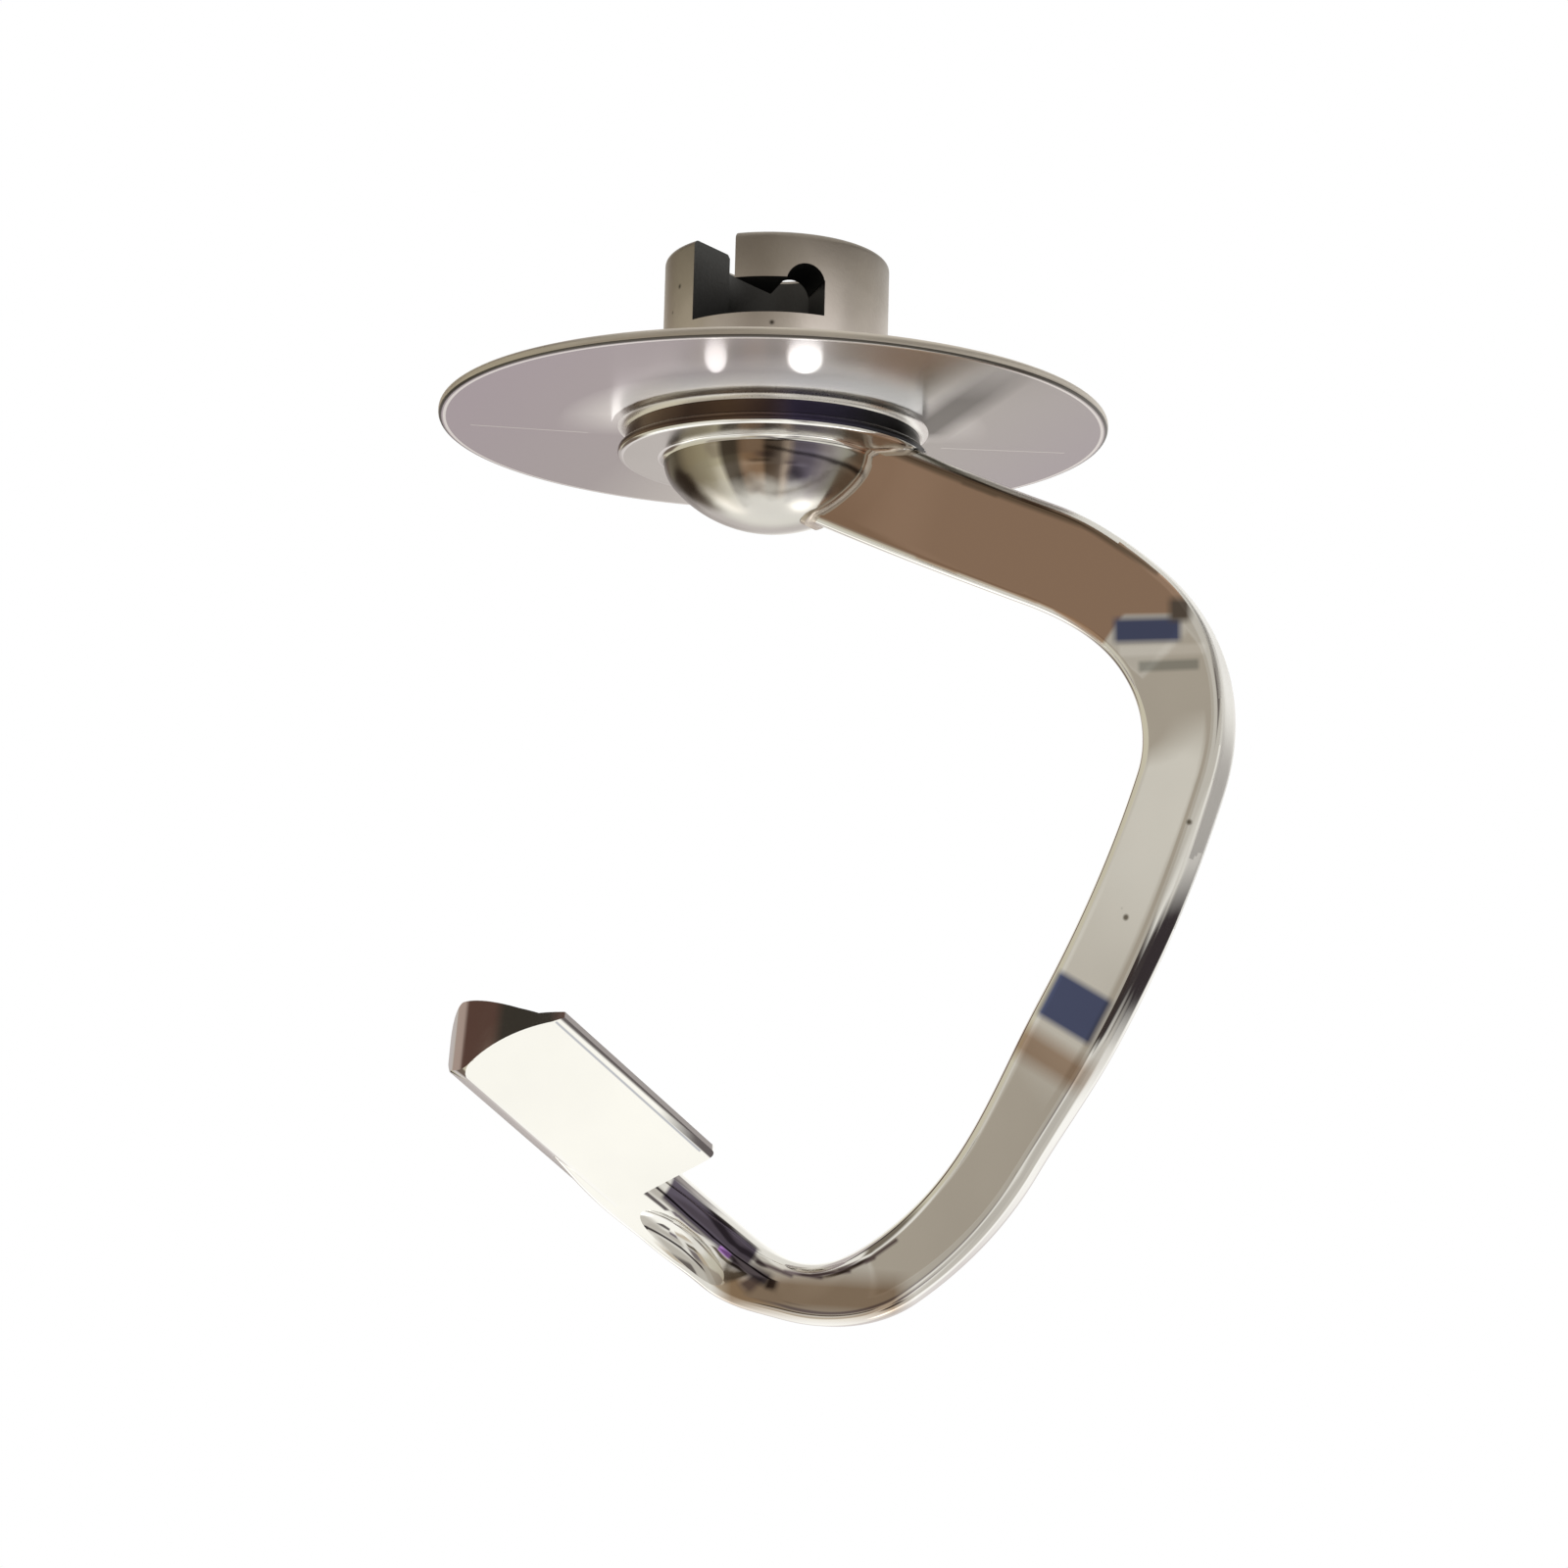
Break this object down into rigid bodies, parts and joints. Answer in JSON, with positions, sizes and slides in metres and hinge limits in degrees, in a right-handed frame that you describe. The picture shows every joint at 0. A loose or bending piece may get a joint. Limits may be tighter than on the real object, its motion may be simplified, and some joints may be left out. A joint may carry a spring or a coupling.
{
  "type": "stand mixer dough hook",
  "caption": "One-piece polished dough hook: slotted drive hub over a round shield, domed boss, and a flat bar that sweeps round into a C and ends in a broad wedge blade.",
  "frame": {"origin": "on the drive shaft's axis, in the plane of the hub's mouth", "axes": "+Z out of the hub's mouth along the drive shaft, -X the side the hook opens to, -Y the side the blade's face looks to"},
  "size_m": [0.0945, 0.08, 0.1265],
  "materials": {
    "steel": "polished stainless steel on the hook, boss and shield, dull as-cast skin on the hub"
  },
  "bodies": {
    "root": {"dough_hook": "steel"}
  },
  "joints": []
}
